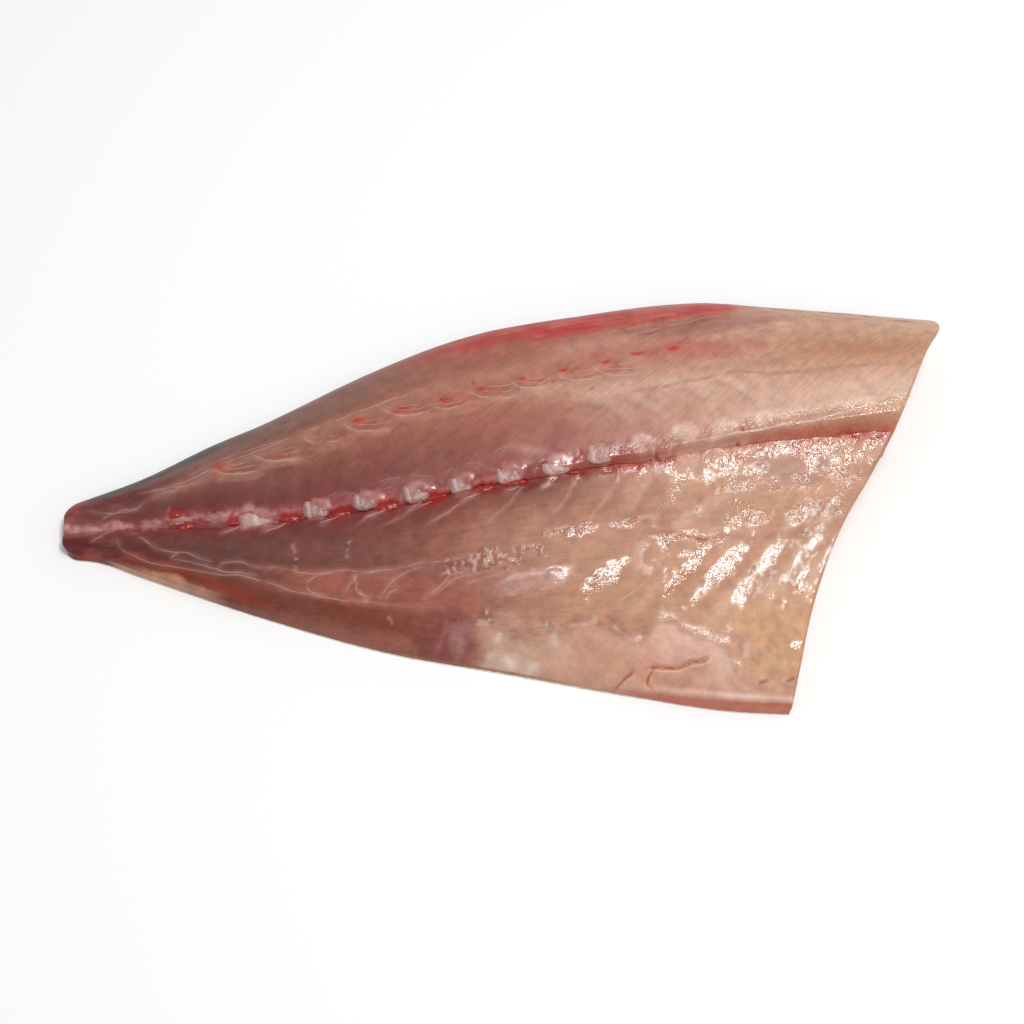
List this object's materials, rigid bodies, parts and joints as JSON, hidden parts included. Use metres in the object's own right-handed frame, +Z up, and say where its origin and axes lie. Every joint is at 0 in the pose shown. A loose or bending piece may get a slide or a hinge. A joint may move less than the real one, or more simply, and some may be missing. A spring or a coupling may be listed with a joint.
{
  "type": "yellowtail fillet",
  "caption": "Raw side of yellowtail, skin down and flesh up: thick back loin, row of vertebra stumps, ribbed belly hollow, thin belly flap, tail stub and slanting shoulder cut.",
  "frame": {"origin": "on the table, under the middle of the fillet's bounding box", "axes": "+X from tail to shoulder, +Y towards the back of the fish, -Y towards its belly, +Z up out of the flesh side"},
  "size_m": [0.4081, 0.2, 0.0407],
  "materials": {
    "flesh": "raw fish flesh, wet and slightly translucent: dark wine-brown at the tail, brown-pink to pale cream at the shoulder, glossy membrane in the belly hollow",
    "skin": "fine-scaled fish skin, olive blue on the back, a brassy stripe along the side, silver on the belly",
    "bone": "gristly vertebra stumps and white sinew, wet and half translucent",
    "blood": "dark red blood line, wet"
  },
  "bodies": {
    "root": {"fillet": "flesh"}
  },
  "joints": []
}
